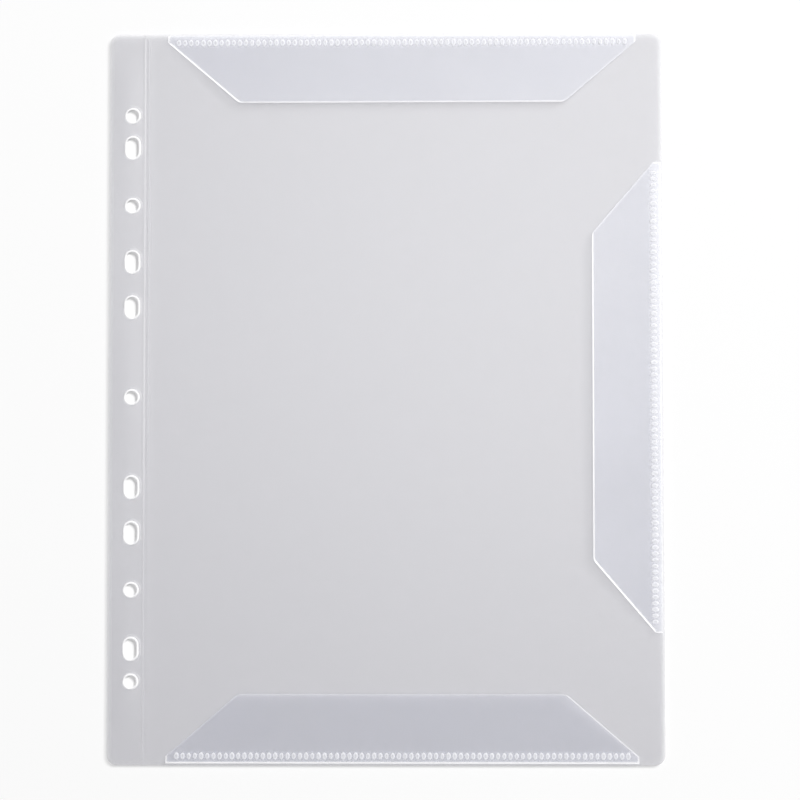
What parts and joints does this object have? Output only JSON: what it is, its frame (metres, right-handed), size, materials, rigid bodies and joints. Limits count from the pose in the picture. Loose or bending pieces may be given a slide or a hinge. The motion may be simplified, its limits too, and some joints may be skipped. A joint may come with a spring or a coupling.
{
  "type": "music folder page",
  "caption": "Frosted loose-leaf page with a punched binding strip on a scored crease and clear trapezoid film flaps, welded on along the other edges, that hold a sheet of music flat.",
  "frame": {"origin": "under the middle of the sheet, on its back face", "axes": "+X from the binding strip towards the right-hand edge, +Y up the page, +Z out of the front face that carries the flaps"},
  "size_m": [0.235, 0.31, 0.0031],
  "materials": {
    "frosted_sheet": "frosted, translucent polypropylene",
    "clear_film": "clear, glossy polypropylene film",
    "weld": "fused, ribbed weld"
  },
  "bodies": {
    "page": {"page_panel": "frosted_sheet", "top_flap_margin": "clear_film", "top_weld_seam": "weld", "right_flap_margin": "clear_film", "right_weld_seam": "weld", "bottom_flap_margin": "clear_film", "bottom_weld_seam": "weld"},
    "binding": {"binding_strip": "frosted_sheet"},
    "top_flap": {"top_flap": "clear_film"},
    "right_flap": {"right_flap": "clear_film"},
    "bottom_flap": {"bottom_flap": "clear_film"}
  },
  "joints": [
    {"name": "crease_fold", "type": "hinge", "parent": "page", "child": "binding", "pos_m": [-0.1015, 0, 0], "axis": [0, 1, 0], "range_deg": [-170, 120], "stiffness_Nm_per_rad": 0.01},
    {"name": "top_flap_lift", "type": "hinge", "parent": "page", "child": "top_flap", "pos_m": [0.007, 0.1492, 0.00095], "axis": [-1, 0, 0], "range_deg": [-4.5, 130], "stiffness_Nm_per_rad": 0.005},
    {"name": "right_flap_lift", "type": "hinge", "parent": "page", "child": "right_flap", "pos_m": [0.1117, 0, 0.00095], "axis": [0, 1, 0], "range_deg": [-4.5, 130], "stiffness_Nm_per_rad": 0.005},
    {"name": "bottom_flap_lift", "type": "hinge", "parent": "page", "child": "bottom_flap", "pos_m": [0.007, -0.1492, 0.00095], "axis": [1, 0, 0], "range_deg": [-4.5, 130], "stiffness_Nm_per_rad": 0.005}
  ]
}
